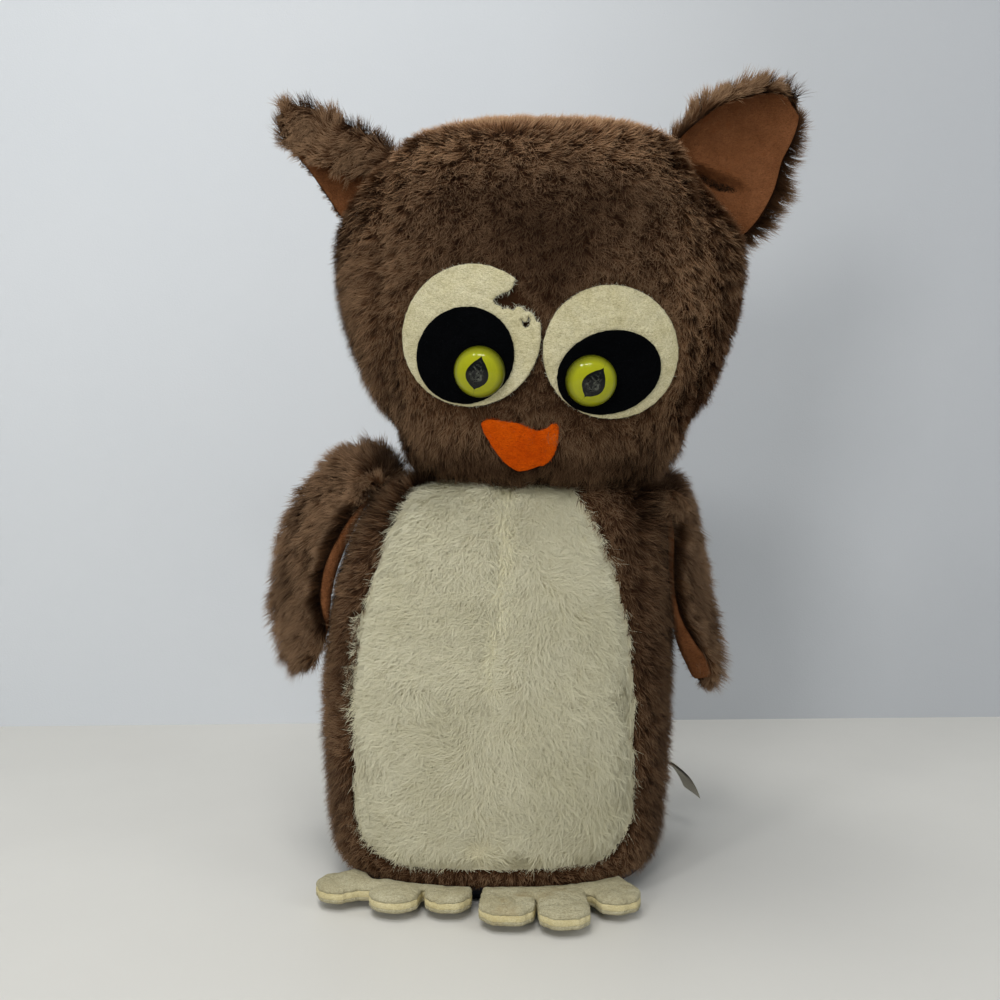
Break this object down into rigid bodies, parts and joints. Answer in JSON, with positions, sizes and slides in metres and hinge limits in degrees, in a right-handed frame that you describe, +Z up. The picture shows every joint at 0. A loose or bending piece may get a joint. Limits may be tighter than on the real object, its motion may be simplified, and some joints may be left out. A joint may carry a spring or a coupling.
{
  "type": "plush owl",
  "caption": "Sitting plush owl with felt ears and wings that bend at their seams, disc eyes with plastic domes, a pale belly and flat felt feet.",
  "frame": {"origin": "on the floor under the middle of the flat base", "axes": "+Z up, the face and belly look along -Y, and the owl's own left is towards +X"},
  "size_m": [0.2679, 0.16, 0.3816],
  "materials": {
    "brown_plush": "matte",
    "white_plush": "matte",
    "base_cloth": "matte",
    "eye_felt": "matte",
    "black_felt": "matte",
    "beak_felt": "matte",
    "rust_felt": "matte",
    "foot_felt": "matte",
    "foot_foam": "matte",
    "ribbon": "satin",
    "filling": "matte",
    "board": "matte",
    "eye_plastic": "gloss",
    "washer_plastic": "satin"
  },
  "bodies": {
    "torso": {"body_stuffing": "filling", "body_side_left": "brown_plush", "body_side_right": "brown_plush", "belly_left": "white_plush", "belly_right": "white_plush", "base_panel": "base_cloth", "base_board": "board", "side_label": "ribbon"},
    "head": {"head_stuffing": "filling", "head_front": "brown_plush", "head_back": "brown_plush", "head_side_left": "brown_plush", "head_side_right": "brown_plush", "beak_back": "beak_felt", "beak_front": "beak_felt", "eye_white_left": "eye_felt", "eye_black_left": "black_felt", "eye_left": "eye_plastic", "eye_washer_left": "washer_plastic", "eye_white_right": "eye_felt", "eye_black_right": "black_felt", "eye_right": "eye_plastic", "eye_washer_right": "washer_plastic"},
    "ear_left": {"ear_left_plush": "brown_plush", "ear_left_lining": "rust_felt"},
    "wing_left": {"wing_left_plush": "brown_plush", "wing_left_lining": "rust_felt"},
    "foot_left": {"foot_left_sole": "foot_felt", "foot_left_foam": "foot_foam", "foot_left_top": "foot_felt"},
    "ear_right": {"ear_right_plush": "brown_plush", "ear_right_lining": "rust_felt"},
    "wing_right": {"wing_right_plush": "brown_plush", "wing_right_lining": "rust_felt"},
    "foot_right": {"foot_right_sole": "foot_felt", "foot_right_foam": "foot_foam", "foot_right_top": "foot_felt"}
  },
  "joints": [
    {"name": "head_turn", "type": "hinge", "parent": "torso", "child": "head", "pos_m": [0.0175, -0.002, 0.1895], "axis": [0, 0, 1], "range_deg": [-12, 12], "stiffness_Nm_per_rad": 0.6},
    {"name": "ear_right_bend", "type": "hinge", "parent": "head", "child": "ear_right", "pos_m": [-0.05735, -0.004, 0.338], "axis": [0.5216, 0, 0.8532], "range_deg": [-10, 5], "stiffness_Nm_per_rad": 0.08},
    {"name": "ear_left_bend", "type": "hinge", "parent": "head", "child": "ear_left", "pos_m": [0.10363, -0.004, 0.331], "axis": [0.5216, 0, -0.8532], "range_deg": [-10, 14], "stiffness_Nm_per_rad": 0.08},
    {"name": "wing_right_lift", "type": "hinge", "parent": "torso", "child": "wing_right", "pos_m": [-0.05471, 0, 0.18321], "axis": [0, 1, 0], "range_deg": [0, 40], "stiffness_Nm_per_rad": 0.05},
    {"name": "wing_left_lift", "type": "hinge", "parent": "torso", "child": "wing_left", "pos_m": [0.07875, 0, 0.18257], "axis": [0, -1, 0], "range_deg": [0, 25], "stiffness_Nm_per_rad": 0.05},
    {"name": "foot_right_bend", "type": "hinge", "parent": "torso", "child": "foot_right", "pos_m": [-0.038, -0.06102, 0.01], "axis": [-1, 0, 0], "range_deg": [0, 12], "stiffness_Nm_per_rad": 0.05},
    {"name": "foot_left_bend", "type": "hinge", "parent": "torso", "child": "foot_left", "pos_m": [0.028, -0.06102, 0.01], "axis": [-1, 0, 0], "range_deg": [0, 12], "stiffness_Nm_per_rad": 0.05}
  ]
}
